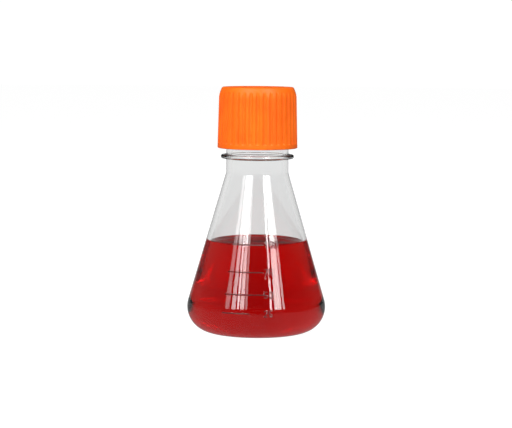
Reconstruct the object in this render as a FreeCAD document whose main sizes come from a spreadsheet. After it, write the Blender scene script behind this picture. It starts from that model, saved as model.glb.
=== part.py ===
"""Vented 125 mL shake flask for cell culture, filled with medium, as a parametric FreeCAD document.

The flask stands on z = 0 with its axis on Z, and its numerals face -Y. Every size is in millimetres.
"""
import FreeCAD, Part
import math
import os
import Sketcher

Vector = FreeCAD.Vector
Placement = FreeCAD.Placement
Rotation = FreeCAD.Rotation

# name, value, what it is
SIZES = (
    # the moulded flask
    ("base_diameter", 67.0, "widest part of the flask"),
    ("heel_radius", 12.2, "rounding between the foot and the cone"),
    ("cone_lean", 16.3, "degrees between the cone's wall and the axis"),
    ("wall", 1.95, "thickness of the floor, the cone and the neck"),
    ("push_up", 1.2, "rise of the floor's middle"),
    ("foot_width", 2.5, "width of the flat ring that the flask stands on"),
    ("neck_diameter", 30.0, "outside of the neck between its threads"),
    ("neck_length", 38.0, "from the top of the cone to the lip"),
    ("neck_blend", 5.0, "rounding between the cone and the neck"),
    ("lip_round", 0.5, "rounding of the lip's edges"),
    ("flange_rise", 7.0, "from the top of the cone to the underside of the flange"),
    ("flange_reach", 2.6, "how far the flange stands out of the neck"),
    ("flange_thickness", 1.8, "thickness of the flange"),
    ("flange_round", 0.75, "rounding of the flange's rim"),
    # the screw thread that the neck and the cap share
    ("thread_pitch", 4.2333, "rise of one turn: six turns to the inch"),
    ("thread_depth", 1.2, "how far each thread stands out of its wall"),
    ("thread_root", 2.1, "width of a thread at its wall"),
    ("thread_crest", 0.9, "width of a thread at its crest"),
    ("thread_turns", 1.5, "turns of the thread on the neck"),
    ("cap_thread_turns", 1.25, "turns of the thread in the cap"),
    ("thread_drop", 2.4, "from the lip to the middle of the thread's last turn"),
    ("thread_clearance", 0.3, "from each crest to the wall that it faces"),
    ("thread_play", 0.15, "gap between the flanks that bear when the cap is tight"),
    # the scale
    ("mark_25", 13.2, "height of the line at 25 mL"),
    ("mark_50", 21.8, "height of the line at 50 mL"),
    ("mark_75", 32.1, "height of the line at 75 mL"),
    ("mark_100", 44.8, "height of the line at 100 mL"),
    ("mark_width", 0.5, "width of a line"),
    ("mark_rise", 0.25, "how far the lines and numerals stand out"),
    ("mark_start", -28.0, "degrees from the front where each line starts"),
    ("mark_sweep", 34.0, "degrees that a full line turns through"),
    ("short_mark_sweep", 22.0, "degrees that the lowest line turns through"),
    ("numeral_offset", 3.5, "from the front of the flask to the first digit"),
    ("numeral_height", 3.5, "height of a digit"),
    ("numeral_width", 1.95, "width of a digit"),
    ("numeral_stroke", 0.45, "width of a digit's stroke"),
    ("numeral_space", 0.4, "gap between two digits"),
    # the medium
    ("medium_level", 43.7, "height of the liquid's surface"),
    ("medium_gap", 0.1, "gap between the liquid and the flask's wall"),
    # the cap and what it holds
    ("skirt_gap", 3.2, "from the flange to the lower edge of the cap"),
    ("cap_wall", 2.15, "thickness of the skirt under its flutes, at the lower edge"),
    ("cap_top", 1.8, "thickness of the cap's top"),
    ("cap_draft", 0.6, "how much narrower the skirt is at its upper end, in radius"),
    ("shoulder_drop", 4.7, "from the top of the cap to the upper end of the skirt"),
    ("shoulder_inset", 1.6, "how much narrower the top is than the skirt's end, in radius"),
    ("shoulder_curve", 12.0, "radius of the shoulder's curve"),
    ("cap_edge", 1.0, "rounding of the top's edge"),
    ("skirt_edge", 0.4, "rounding of the lower edge"),
    ("lead_in", 0.5, "chamfer at the mouth of the cap"),
    ("flute_count", 36, "number of flutes"),
    ("flute_width", 1.9, "width of a flute at the skirt's face"),
    ("flute_depth", 0.65, "depth of a flute"),
    ("band_height", 2.2, "height of the plain band under the flutes"),
    ("gasket_thickness", 1.5, "height of the sealing ring"),
    ("gasket_seat", 1.1, "width of the lip that the sealing ring covers"),
    ("gasket_clearance", 0.2, "gap between the sealing ring and the skirt"),
    ("membrane_thickness", 0.25, "thickness of the membrane"),
    ("ring_thickness", 1.0, "height of the ring that holds the membrane"),
    ("ring_width", 1.6, "width of the ring that holds the membrane"),
    ("ring_clearance", 0.3, "gap between that ring and the sealing ring"),
    ("vent_diameter", 2.2, "diameter of a vent hole"),
    ("vent_spacing", 4.4, "spacing of the rows of vent holes"),
    ("vent_margin", 0.8, "least gap between a vent hole and the membrane's ring"),
)

# sizes that follow from those above, as expressions of the document
BASE_RADIUS = "(Sizes.base_diameter / 2)"
HEEL_CENTRE = f"({BASE_RADIUS} - Sizes.heel_radius)"
FOOT_INNER = f"({HEEL_CENTRE} - Sizes.foot_width)"
PUSH_UP_RADIUS = f"(({FOOT_INNER} ^ 2 + Sizes.push_up ^ 2) / (2 * Sizes.push_up))"
NECK_RADIUS = "(Sizes.neck_diameter / 2)"
BORE_RADIUS = f"({NECK_RADIUS} - Sizes.wall)"
TANGENT_RADIUS = f"({HEEL_CENTRE} + Sizes.heel_radius * cos(Sizes.cone_lean))"
TANGENT_HEIGHT = "(Sizes.heel_radius * (1 + sin(Sizes.cone_lean)))"
CONE_TOP = f"({TANGENT_HEIGHT} + ({TANGENT_RADIUS} - {NECK_RADIUS}) / tan(Sizes.cone_lean))"
LIP = f"({CONE_TOP} + Sizes.neck_length)"
FLANGE_RADIUS = f"({NECK_RADIUS} + Sizes.flange_reach)"
FLANGE_BOTTOM = f"({CONE_TOP} + Sizes.flange_rise)"
FLANGE_TOP = f"({FLANGE_BOTTOM} + Sizes.flange_thickness)"
UNDERSIDE = f"({LIP} + Sizes.gasket_thickness)"
CAP_TOP = f"({UNDERSIDE} + Sizes.cap_top)"
CAP_BOTTOM = f"({FLANGE_TOP} + Sizes.skirt_gap)"
CAP_BORE = f"({NECK_RADIUS} + Sizes.thread_depth + Sizes.thread_clearance)"
SKIRT_RADIUS = f"({CAP_BORE} + Sizes.cap_wall + Sizes.flute_depth)"
SHOULDER_RADIUS = f"({SKIRT_RADIUS} - Sizes.cap_draft)"
SHOULDER_HEIGHT = f"({CAP_TOP} - Sizes.shoulder_drop)"
GASKET_INNER = f"({NECK_RADIUS} - Sizes.gasket_seat)"
MEMBRANE_RADIUS = f"({GASKET_INNER} - Sizes.ring_clearance)"
MEMBRANE_BOTTOM = f"({UNDERSIDE} - Sizes.membrane_thickness)"
THREAD_TOP = f"({LIP} - Sizes.thread_drop)"
THREAD_START = f"({THREAD_TOP} - Sizes.thread_turns * Sizes.thread_pitch)"


def new_document():
    """Make the document and its sheet of sizes."""
    document = FreeCAD.newDocument("ShakeFlask")
    sheet = document.addObject("Spreadsheet::Sheet", "Sizes")
    for row, (name, size, meaning) in enumerate(SIZES, start=1):
        sheet.set(f"A{row}", name)
        sheet.set(f"B{row}", str(size))
        sheet.set(f"C{row}", meaning)
        sheet.setAlias(f"B{row}", name)
    document.recompute()
    return document


def evaluate(document, expression):
    """The number that an expression of the sheet's sizes has now."""
    return float(document.Sizes.evalExpression(expression))


# ---------------------------------------------------------------- sketches


def origin_plane(body, role):
    """One of the body's own origin planes, such as XZ_Plane."""
    return next(item for item in body.Origin.OriginFeatures if item.Role == role)


def new_sketch(body, name, role="XZ_Plane", offset=None):
    """An empty sketch on one of the body's origin planes."""
    sketch = body.newObject("Sketcher::SketchObject", name)
    sketch.AttachmentSupport = [(origin_plane(body, role), "")]
    sketch.MapMode = "FlatFace"
    if offset is not None:
        sketch.AttachmentOffset = offset
    return sketch


def arc_between(start, end, radius):
    """The shorter arc from start to end, turning left if radius is positive."""
    chord = end - start
    middle = (start + end) * 0.5
    reach = math.sqrt(radius**2 - (chord.Length / 2) ** 2)
    left = Vector(-chord.y, chord.x, 0).normalize()
    centre = middle + left * math.copysign(reach, radius)
    first = math.atan2(start.y - centre.y, start.x - centre.x)
    last = math.atan2(end.y - centre.y, end.x - centre.x)
    if radius < 0:
        first, last = last, first
    return Part.ArcOfCircle(Part.Circle(centre, Vector(0, 0, 1), abs(radius)), first, last)


def draw_profile(sketch, corners, arcs=None):
    """Draw a closed outline through corners given as pairs of expressions, and bind each corner to its pair.

    arcs maps a corner's number to the radius expression of the arc that leaves it, and a minus sign in front
    makes that arc turn right.
    """
    document = sketch.Document
    arcs = arcs or {}
    count = len(corners)
    points = [Vector(evaluate(document, x), evaluate(document, y), 0) for x, y in corners]
    starts = []
    for number, point in enumerate(points):
        after = points[(number + 1) % count]
        if number not in arcs:
            sketch.addGeometry(Part.LineSegment(point, after), False)
            starts.append((number, 1, 2))
            continue
        turn_right = arcs[number].startswith("-")
        radius = evaluate(document, arcs[number].lstrip("-"))
        sketch.addGeometry(arc_between(point, after, -radius if turn_right else radius), False)
        starts.append((number, 2, 1) if turn_right else (number, 1, 2))
    for number in range(count):
        edge, _, end = starts[number]
        following, start, _ = starts[(number + 1) % count]
        sketch.addConstraint(Sketcher.Constraint("Coincident", edge, end, following, start))
    for number, (x, y) in enumerate(corners):
        edge, start, _ = starts[number]
        pin_corner(sketch, edge, start, "DistanceX", x, f"corner_{number}_across", -2)
        pin_corner(sketch, edge, start, "DistanceY", y, f"corner_{number}_up", -1)
    for number, radius in arcs.items():
        bare = radius.lstrip("-")
        place = sketch.addConstraint(Sketcher.Constraint("Radius", number, evaluate(document, bare)))
        sketch.renameConstraint(place, f"arc_{number}_radius")
        sketch.setExpression(f"Constraints.arc_{number}_radius", bare)
    return sketch


def pin_corner(sketch, edge, point, kind, expression, name, axis):
    """Hold one coordinate of a corner: on the axis where it is 0, and at its expression elsewhere."""
    if expression == "0":
        sketch.addConstraint(Sketcher.Constraint("PointOnObject", edge, point, axis))
        return
    size = evaluate(sketch.Document, expression)
    place = sketch.addConstraint(Sketcher.Constraint(kind, -1, 1, edge, point, size))
    sketch.renameConstraint(place, name)
    sketch.setExpression(f"Constraints.{name}", expression)


def revolve(body, name, sketch, angle="360"):
    """Turn a sketch about the flask's axis."""
    feature = body.newObject("PartDesign::Revolution", name)
    feature.Profile = sketch
    feature.ReferenceAxis = (sketch, ["V_Axis"])
    feature.setExpression("Angle", angle)
    body.Document.recompute()
    return feature


def round_rings(body, name, rings, radius):
    """Round the circular edges at the given pairs of radius and height, given as expressions."""
    document = body.Document
    document.recompute()
    base = body.Tip
    wanted = [(evaluate(document, across), evaluate(document, up)) for across, up in rings]
    chosen = []
    for number, edge in enumerate(base.Shape.Edges, start=1):
        if edge.Degenerated or not isinstance(edge.Curve, Part.Circle):
            continue
        size = (edge.Curve.Radius, edge.Curve.Center.z)
        if any(math.dist(size, ring) < 1e-4 for ring in wanted):
            chosen.append(f"Edge{number}")
    if len(chosen) != len(rings):
        raise ValueError(f"{name}: {len(rings)} edges wanted, {len(chosen)} found")
    feature = body.newObject("PartDesign::Fillet", name)
    feature.Base = (base, chosen)
    feature.setExpression("Radius", radius)
    document.recompute()
    return feature


def pattern_round(body, name, feature, count):
    """Repeat a feature evenly around the flask's axis."""
    pattern = body.newObject("PartDesign::PolarPattern", name)
    pattern.Originals = [feature]
    pattern.Axis = (next(item for item in body.Origin.OriginFeatures if item.Role == "Z_Axis"), [""])
    pattern.Angle = 360
    pattern.setExpression("Occurrences", count)
    body.Tip = pattern
    body.Document.recompute()
    return pattern


def add_thread(body, name, root, crest, foot, turns):
    """Wind a thread with its middle starting at height foot, from the wall's radius root to its crest."""
    half_root = "(Sizes.thread_root / 2)"
    half_crest = "(Sizes.thread_crest / 2)"
    sketch = new_sketch(body, f"{name}Profile")
    corners = [
        (root, f"{foot} - {half_root}"),
        (crest, f"{foot} - {half_crest}"),
        (crest, f"{foot} + {half_crest}"),
        (root, f"{foot} + {half_root}"),
    ]
    draw_profile(sketch, corners)
    thread = body.newObject("PartDesign::AdditiveHelix", name)
    thread.Profile = sketch
    thread.ReferenceAxis = (sketch, ["V_Axis"])
    thread.Mode = "pitch-turns-angle"
    thread.setExpression("Pitch", "Sizes.thread_pitch")
    thread.setExpression("Turns", turns)
    body.Document.recompute()
    return thread


# ---------------------------------------------------------------- the flask


def inner_radius(height, inset):
    """Expression for the radius of the cone's wall at a height, moved in by inset."""
    slope = f"({height} - {TANGENT_HEIGHT}) * tan(Sizes.cone_lean)"
    return f"({TANGENT_RADIUS} - {slope} - {inset} / cos(Sizes.cone_lean))"


def tangent_point(inset):
    """Expressions for where the heel's curve, moved in by inset, runs into the cone."""
    radius = f"(Sizes.heel_radius - {inset})"
    across = f"({HEEL_CENTRE} + {radius} * cos(Sizes.cone_lean))"
    up = f"(Sizes.heel_radius + {radius} * sin(Sizes.cone_lean))"
    return across, up


def make_flask(document):
    """The clear moulding: floor, heel, cone, neck, flange, thread and raised scale."""
    body = document.addObject("PartDesign::Body", "FlaskBody")
    body.Label = "flask_body"
    cone_inner_top = f"({CONE_TOP} - Sizes.wall * (1 / cos(Sizes.cone_lean) - 1) / tan(Sizes.cone_lean))"
    corners = [
        ("0", "Sizes.push_up"),
        (FOOT_INNER, "0"),
        (HEEL_CENTRE, "0"),
        tangent_point("0"),
        (NECK_RADIUS, CONE_TOP),
        (NECK_RADIUS, FLANGE_BOTTOM),
        (FLANGE_RADIUS, FLANGE_BOTTOM),
        (FLANGE_RADIUS, FLANGE_TOP),
        (NECK_RADIUS, FLANGE_TOP),
        (NECK_RADIUS, LIP),
        (BORE_RADIUS, LIP),
        (BORE_RADIUS, cone_inner_top),
        tangent_point("Sizes.wall"),
        (HEEL_CENTRE, "Sizes.wall"),
        (FOOT_INNER, "Sizes.wall"),
        ("0", "Sizes.push_up + Sizes.wall"),
    ]
    arcs = {
        0: "-" + PUSH_UP_RADIUS,
        2: "Sizes.heel_radius",
        12: "-(Sizes.heel_radius - Sizes.wall)",
        14: PUSH_UP_RADIUS,
    }
    profile = draw_profile(new_sketch(body, "FlaskProfile"), corners, arcs)
    revolve(body, "FlaskWall", profile)
    neck_edges = [(NECK_RADIUS, CONE_TOP), (BORE_RADIUS, cone_inner_top)]
    round_rings(body, "NeckBlend", neck_edges, "Sizes.neck_blend")
    flange_edges = [(FLANGE_RADIUS, FLANGE_BOTTOM), (FLANGE_RADIUS, FLANGE_TOP)]
    round_rings(body, "FlangeRim", flange_edges, "min(Sizes.flange_round; 0.45 * Sizes.flange_thickness)")
    lip_edges = [(NECK_RADIUS, LIP), (BORE_RADIUS, LIP)]
    round_rings(body, "LipRound", lip_edges, "min(Sizes.lip_round; 0.3 * Sizes.wall)")
    add_scale(body)
    root = f"({NECK_RADIUS} - Sizes.thread_clearance)"
    crest = f"({NECK_RADIUS} + Sizes.thread_depth)"
    add_thread(body, "NeckThread", root, crest, THREAD_START, "Sizes.thread_turns")
    return body


def wall_at(document, height):
    """The radius of the flask's outside at a height, and how far its face leans back there, in degrees."""
    heel = evaluate(document, "Sizes.heel_radius")
    lean = evaluate(document, "Sizes.cone_lean")
    if height >= evaluate(document, TANGENT_HEIGHT):
        return evaluate(document, inner_radius(str(height), "0")), lean
    rise = math.asin((height - heel) / heel)
    return evaluate(document, HEEL_CENTRE) + heel * math.cos(rise), math.degrees(rise)


def on_wall(document, azimuth, height, sink):
    """A placement on the flask's wall: X runs to the right, Y up the wall, Z out of it, sunk in by sink."""
    radius, lean = wall_at(document, height)
    turn = math.radians(azimuth)
    tilt = math.radians(lean)
    outward = Vector(math.cos(turn), math.sin(turn), 0)
    across = Vector(-math.sin(turn), math.cos(turn), 0)
    normal = outward * math.cos(tilt) + Vector(0, 0, math.sin(tilt))
    place = outward * radius + Vector(0, 0, height) - normal * sink
    return Placement(place, Rotation(across, normal.cross(across), normal, "ZXY"))


def add_scale(body):
    """The four raised lines of the scale, each with its numeral to the right of it."""
    front = -90
    for volume in (25, 50, 75, 100):
        height = evaluate(body.Document, f"Sizes.mark_{volume}")
        sweep = "Sizes.short_mark_sweep" if volume == 25 else "Sizes.mark_sweep"
        add_line(body, volume, height, front, sweep)
        add_numeral(body, volume, height, front)


def add_line(body, volume, height, front, sweep):
    """One raised line: a short bar of the wall's slope, turned part of the way round the flask."""
    document = body.Document
    sink = evaluate(document, "Sizes.wall") / 4
    rise = evaluate(document, "Sizes.mark_rise")
    half = evaluate(document, "Sizes.mark_width") / 2
    radius, lean = wall_at(document, height)
    tilt = math.radians(lean)
    middle = Vector(radius, height, 0)
    normal = Vector(math.cos(tilt), math.sin(tilt), 0)
    along = Vector(-math.sin(tilt), math.cos(tilt), 0)
    corners = [
        middle - normal * sink - along * half,
        middle + normal * rise - along * half,
        middle + normal * rise + along * half,
        middle - normal * sink + along * half,
    ]
    azimuth = front + evaluate(document, "Sizes.mark_start")
    turned = Placement(Vector(), Rotation(Vector(0, 1, 0), azimuth))
    sketch = new_sketch(body, f"Line{volume}Profile", offset=turned)
    draw_loop(sketch, corners)
    revolve(body, f"Line{volume}", sketch, sweep)


def add_numeral(body, volume, height, front):
    """The raised digits of one volume, each on its own tangent plane of the wall."""
    document = body.Document
    width = evaluate(document, "Sizes.numeral_width")
    step = width + evaluate(document, "Sizes.numeral_space")
    sink = evaluate(document, "Sizes.wall") / 4
    radius, _ = wall_at(document, height)
    for place, digit in enumerate(str(volume)):
        distance = evaluate(document, "Sizes.numeral_offset") + width / 2 + place * step
        azimuth = front + math.degrees(distance / radius)
        offset = on_wall(document, azimuth, height, sink)
        sketch = new_sketch(body, f"Digit{volume}at{place}", "XY_Plane", offset)
        for loop in digit_loops(document, digit):
            draw_loop(sketch, *loop)
        pad = body.newObject("PartDesign::Pad", f"Numeral{volume}at{place}")
        pad.Profile = sketch
        pad.setExpression("Length", "Sizes.wall / 4 + Sizes.mark_rise")
        document.recompute()


def draw_loop(sketch, corners, arcs=None):
    """Draw a closed loop through corners. arcs maps a corner's number to the centre of the arc that leaves it
    and to 1 if that arc turns left or -1 if it turns right.
    """
    arcs = arcs or {}
    for number, corner in enumerate(corners):
        after = corners[(number + 1) % len(corners)]
        if number not in arcs:
            sketch.addGeometry(Part.LineSegment(corner, after), False)
            continue
        centre, turn = arcs[number]
        first = math.atan2(corner.y - centre.y, corner.x - centre.x)
        last = math.atan2(after.y - centre.y, after.x - centre.x)
        if turn < 0:
            first, last = last, first
        circle = Part.Circle(centre, Vector(0, 0, 1), (corner - centre).Length)
        sketch.addGeometry(Part.ArcOfCircle(circle, first, last), False)


def polar(centre, radius, degrees):
    """The point at an angle on a circle."""
    turn = math.radians(degrees)
    return centre + Vector(radius * math.cos(turn), radius * math.sin(turn), 0)


def digit_loops(document, digit):
    """The closed loops of a digit, centred on 0, as pairs of corners and arcs."""
    width = evaluate(document, "Sizes.numeral_width")
    height = evaluate(document, "Sizes.numeral_height")
    stroke = evaluate(document, "Sizes.numeral_stroke")
    left, right = -width / 2, width / 2
    bottom, top = -height / 2, height / 2
    bowl = width / 2
    shapes = {
        "0": lambda: [oval(bowl, top), oval(bowl - stroke, top - stroke)],
        "1": lambda: [one(stroke, bottom, top)],
        "2": lambda: [two(left, right, bottom, top, bowl, stroke)],
        "5": lambda: [five(left, right, bottom, top, bowl, stroke)],
        "7": lambda: [seven(left, right, bottom, top, stroke)],
    }
    return shapes[digit]()


def oval(radius, top):
    """A loop of two half circles and two straight sides."""
    upper = Vector(0, top - radius, 0)
    lower = Vector(0, radius - top, 0)
    corners = [polar(lower, radius, 0), polar(upper, radius, 0), polar(upper, radius, 180), polar(lower, radius, 180)]
    return corners, {1: (upper, 1), 3: (lower, 1)}


def one(stroke, bottom, top):
    """An upright with a short flag."""
    half = stroke / 2
    corners = [
        Vector(-half, bottom, 0),
        Vector(half, bottom, 0),
        Vector(half, top, 0),
        Vector(-half, top, 0),
        Vector(-3 * half, top - 2 * stroke, 0),
        Vector(-3 * half, top - 3 * stroke, 0),
        Vector(-half, top - 2 * stroke, 0),
    ]
    return corners, {}


def two(left, right, bottom, top, bowl, stroke):
    """A round head that runs down a slanted neck to a flat foot."""
    centre = Vector(0, top - bowl, 0)
    opening, closing = 165, -35
    corners = [
        Vector(left, bottom, 0),
        Vector(right, bottom, 0),
        Vector(right, bottom + stroke, 0),
        Vector(left + 1.4 * stroke, bottom + stroke, 0),
        polar(centre, bowl, closing),
        polar(centre, bowl, opening),
        polar(centre, bowl - stroke, opening),
        polar(centre, bowl - stroke, closing),
        Vector(left, bottom + stroke, 0),
    ]
    return corners, {4: (centre, 1), 6: (centre, -1)}


def five(left, right, bottom, top, bowl, stroke):
    """A flat top, an upright and a round bowl."""
    centre = Vector(0, bottom + bowl, 0)
    corners = [
        Vector(right - stroke / 4, top, 0),
        Vector(left, top, 0),
        Vector(left, bottom + 1.45 * bowl, 0),
        polar(centre, bowl - stroke, 150),
        polar(centre, bowl - stroke, -150),
        polar(centre, bowl, -150),
        polar(centre, bowl, 110),
        Vector(left + stroke, bottom + 1.75 * bowl, 0),
        Vector(left + stroke, top - stroke, 0),
        Vector(right - stroke / 4, top - stroke, 0),
    ]
    return corners, {3: (centre, -1), 5: (centre, 1)}


def seven(left, right, bottom, top, stroke):
    """A flat top with a slanted leg."""
    corners = [
        Vector(left, top, 0),
        Vector(left, top - stroke, 0),
        Vector(right - 1.2 * stroke, top - stroke, 0),
        Vector(left + 0.9 * stroke, bottom, 0),
        Vector(left + 2.0 * stroke, bottom, 0),
        Vector(right, top - stroke, 0),
        Vector(right, top, 0),
    ]
    return corners, {}


# ---------------------------------------------------------------- the medium


def make_medium(document):
    """The liquid, which follows the floor, the heel and the cone up to its level surface."""
    body = document.addObject("PartDesign::Body", "CultureMedium")
    body.Label = "culture_medium"
    inset = "(Sizes.wall + Sizes.medium_gap)"
    corners = [
        ("0", f"Sizes.push_up + {inset}"),
        (FOOT_INNER, inset),
        (HEEL_CENTRE, inset),
        tangent_point(inset),
        (inner_radius("Sizes.medium_level", inset), "Sizes.medium_level"),
        ("0", "Sizes.medium_level"),
    ]
    arcs = {0: "-" + PUSH_UP_RADIUS, 2: f"(Sizes.heel_radius - {inset})"}
    profile = draw_profile(new_sketch(body, "MediumProfile"), corners, arcs)
    revolve(body, "Medium", profile)
    return body


# ---------------------------------------------------------------- the cap


def make_cap(document):
    """The screw cap: top, shoulder, skirt with flutes, internal thread and vent holes."""
    body = document.addObject("PartDesign::Body", "CapShell")
    body.Label = "cap_shell"
    top_radius = f"({SHOULDER_RADIUS} - Sizes.shoulder_inset)"
    corners = [
        (f"({CAP_BORE} + Sizes.lead_in)", CAP_BOTTOM),
        (SKIRT_RADIUS, CAP_BOTTOM),
        (SHOULDER_RADIUS, SHOULDER_HEIGHT),
        (top_radius, CAP_TOP),
        ("0", CAP_TOP),
        ("0", UNDERSIDE),
        (CAP_BORE, UNDERSIDE),
        (CAP_BORE, f"({CAP_BOTTOM} + Sizes.lead_in)"),
    ]
    profile = draw_profile(new_sketch(body, "CapProfile"), corners, {2: "Sizes.shoulder_curve"})
    revolve(body, "CapWall", profile)
    round_rings(body, "CapEdge", [(top_radius, CAP_TOP)], "Sizes.cap_edge")
    round_rings(body, "SkirtEdge", [(SKIRT_RADIUS, CAP_BOTTOM)], "Sizes.skirt_edge")
    add_vents(body)
    cut_flutes(body)
    root = f"({CAP_BORE} + Sizes.thread_clearance)"
    crest = f"({NECK_RADIUS} + Sizes.thread_clearance)"
    flank = "(Sizes.thread_root - Sizes.thread_crest) / 2 / Sizes.thread_depth"
    width_at_crest = f"(Sizes.thread_root - 2 * {flank} * Sizes.thread_clearance)"
    drop = f"(Sizes.thread_crest / 2 + {width_at_crest} / 2 + Sizes.thread_play)"
    add_thread(body, "CapThread", root, crest, f"({THREAD_START} - {drop})", "Sizes.cap_thread_turns")
    return body


def cut_flutes(body):
    """Round-bottomed flutes along the skirt, which run out where the shoulder curves in."""
    document = body.Document
    before = body.Tip.Shape.Volume
    half = "(Sizes.flute_width / 2)"
    radius = f"(({half} ^ 2 + Sizes.flute_depth ^ 2) / (2 * Sizes.flute_depth))"
    drop = f"({SHOULDER_HEIGHT} - {CAP_BOTTOM})"
    lean = math.degrees(math.atan(evaluate(document, f"Sizes.cap_draft / {drop}")))
    start = evaluate(document, f"{CAP_BOTTOM} + Sizes.band_height")
    across = evaluate(
        document,
        f"{SKIRT_RADIUS} - Sizes.cap_draft * Sizes.band_height / {drop} - Sizes.flute_depth + {radius}",
    )
    flute = body.newObject("PartDesign::SubtractiveCylinder", "Flute")
    flute.AttachmentSupport = [(origin_plane(body, "XY_Plane"), "")]
    flute.MapMode = "FlatFace"
    flute.AttachmentOffset = Placement(Vector(across, 0, start), Rotation(Vector(0, 1, 0), -lean))
    flute.setExpression("Radius", radius)
    flute.setExpression("Height", f"{CAP_TOP} - {CAP_BOTTOM}")
    document.recompute()
    pattern_round(body, "Flutes", flute, "Sizes.flute_count")
    if not body.Tip.Shape.Volume < before:
        raise ValueError("the flutes cut nothing")


def add_vents(body):
    """Vent holes through the top: one in the middle and rows of holes around it, over the membrane."""
    document = body.Document
    room = evaluate(
        document,
        f"{MEMBRANE_RADIUS} - Sizes.ring_width - Sizes.vent_margin - Sizes.vent_diameter / 2",
    )
    rows = int(room / evaluate(document, "Sizes.vent_spacing"))
    for row in range(rows + 1):
        before = body.Tip.Shape.Volume
        lifted = Placement(Vector(0, 0, evaluate(document, CAP_TOP)), Rotation())
        sketch = new_sketch(body, f"VentRow{row}Profile", "XY_Plane", lifted)
        distance = row * evaluate(document, "Sizes.vent_spacing")
        radius = evaluate(document, "Sizes.vent_diameter") / 2
        sketch.addGeometry(Part.Circle(Vector(distance, 0, 0), Vector(0, 0, 1), radius), False)
        size = sketch.addConstraint(Sketcher.Constraint("Radius", 0, radius))
        sketch.renameConstraint(size, "vent_radius")
        sketch.setExpression("Constraints.vent_radius", "Sizes.vent_diameter / 2")
        vent = body.newObject("PartDesign::Pocket", f"VentRow{row}")
        vent.Profile = sketch
        vent.setExpression("Length", "2 * Sizes.cap_top")
        document.recompute()
        if row:
            pattern_round(body, f"VentRow{row}Pattern", vent, str(6 * row))
        if not body.Tip.Shape.Volume < before:
            raise ValueError(f"vent row {row} cuts nothing")


def make_ring(document, name, label, inner, outer, bottom, thickness):
    """A flat ring, or a disc where inner is 0, as a body of its own."""
    body = document.addObject("PartDesign::Body", name)
    body.Label = label
    corners = [(inner, bottom), (outer, bottom), (outer, f"{bottom} + {thickness}"), (inner, f"{bottom} + {thickness}")]
    profile = draw_profile(new_sketch(body, f"{name}Profile"), corners)
    revolve(body, f"{name}Ring", profile)
    return body


def make_gasket(document):
    """The sealing ring between the lip of the neck and the cap."""
    outer = f"({CAP_BORE} - Sizes.gasket_clearance)"
    return make_ring(document, "CapGasket", "cap_gasket", GASKET_INNER, outer, LIP, "Sizes.gasket_thickness")


def make_membrane(document):
    """The membrane under the vent holes."""
    size = "Sizes.membrane_thickness"
    return make_ring(document, "VentMembrane", "vent_membrane", "0", MEMBRANE_RADIUS, MEMBRANE_BOTTOM, size)


def make_membrane_ring(document):
    """The ring that holds the membrane's edge against the cap."""
    inner = f"({MEMBRANE_RADIUS} - Sizes.ring_width)"
    bottom = f"({MEMBRANE_BOTTOM} - Sizes.ring_thickness)"
    size = "Sizes.ring_thickness"
    return make_ring(document, "MembraneRing", "membrane_ring", inner, MEMBRANE_RADIUS, bottom, size)


# ---------------------------------------------------------------- checks and files


def check(document, parts):
    """Stop if any object failed, or if a sub-part is not one valid solid."""
    for item in document.Objects:
        if "Invalid" in item.State or "Error" in item.State:
            raise ValueError(f"{item.Name} failed: {item.State}")
    for part in parts:
        shape = part.Shape
        if shape.isNull() or not shape.isValid() or len(shape.Solids) != 1:
            raise ValueError(f"{part.Label} is not one valid solid")


def main():
    document = new_document()
    parts = [
        make_flask(document),
        make_medium(document),
        make_cap(document),
        make_gasket(document),
        make_membrane(document),
        make_membrane_ring(document),
    ]
    for part in parts:
        part.Placement = Placement()
    document.recompute()
    check(document, parts)
    os.makedirs("parts", exist_ok=True)
    for part in parts:
        part.Shape.exportStep(f"parts/{part.Label}.step")
        print(f"{part.Label}: {part.Shape.Volume / 1000:.2f} mL")


main()
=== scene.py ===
"""A vented culture shake flask with its medium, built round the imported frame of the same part.

Lengths are in metres. The flask stands on z = 0 with its axis on Z, and its numerals face -Y.
"""
import math

import bmesh
import bpy
import numpy as np
from bpy.props import FloatProperty, FloatVectorProperty, IntProperty, PointerProperty
from bpy.types import Operator, Panel, PropertyGroup
from mathutils import Matrix, Vector


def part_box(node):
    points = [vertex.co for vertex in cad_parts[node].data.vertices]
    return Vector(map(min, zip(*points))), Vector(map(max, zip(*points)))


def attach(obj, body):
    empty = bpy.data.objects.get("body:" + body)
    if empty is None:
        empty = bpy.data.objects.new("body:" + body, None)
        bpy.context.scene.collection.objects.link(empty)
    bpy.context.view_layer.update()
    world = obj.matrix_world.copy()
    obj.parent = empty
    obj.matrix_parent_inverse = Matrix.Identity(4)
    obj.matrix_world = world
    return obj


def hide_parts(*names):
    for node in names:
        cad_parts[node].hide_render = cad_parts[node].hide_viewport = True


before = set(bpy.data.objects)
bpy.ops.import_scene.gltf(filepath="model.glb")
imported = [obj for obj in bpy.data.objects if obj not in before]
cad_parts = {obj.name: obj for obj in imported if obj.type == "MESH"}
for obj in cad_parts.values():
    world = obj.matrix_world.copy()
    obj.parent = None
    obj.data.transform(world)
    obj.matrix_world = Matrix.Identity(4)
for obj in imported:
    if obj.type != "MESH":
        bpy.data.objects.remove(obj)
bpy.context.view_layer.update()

bl_info = {
    "name": "Culture Shake Flask",
    "version": (1, 0, 0),
    "blender": (4, 5, 0),
    "location": "3D View > Sidebar > Flask",
    "description": "Builds a vented shake flask, its medium and a plain studio",
    "category": "Add Mesh",
}

FRONT = -90.0  # degrees from +X to the numerals
MILLIMETRE = 0.001

# refractive indices of the clear wall, of the liquid, and of the cap's plastic, set low for a soft sheen
WALL_INDEX = 1.57
LIQUID_INDEX = 1.33
CAP_INDEX = 1.32

# how strongly the liquid takes up light, per metre
LIQUID_DENSITY = 150.0

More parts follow.
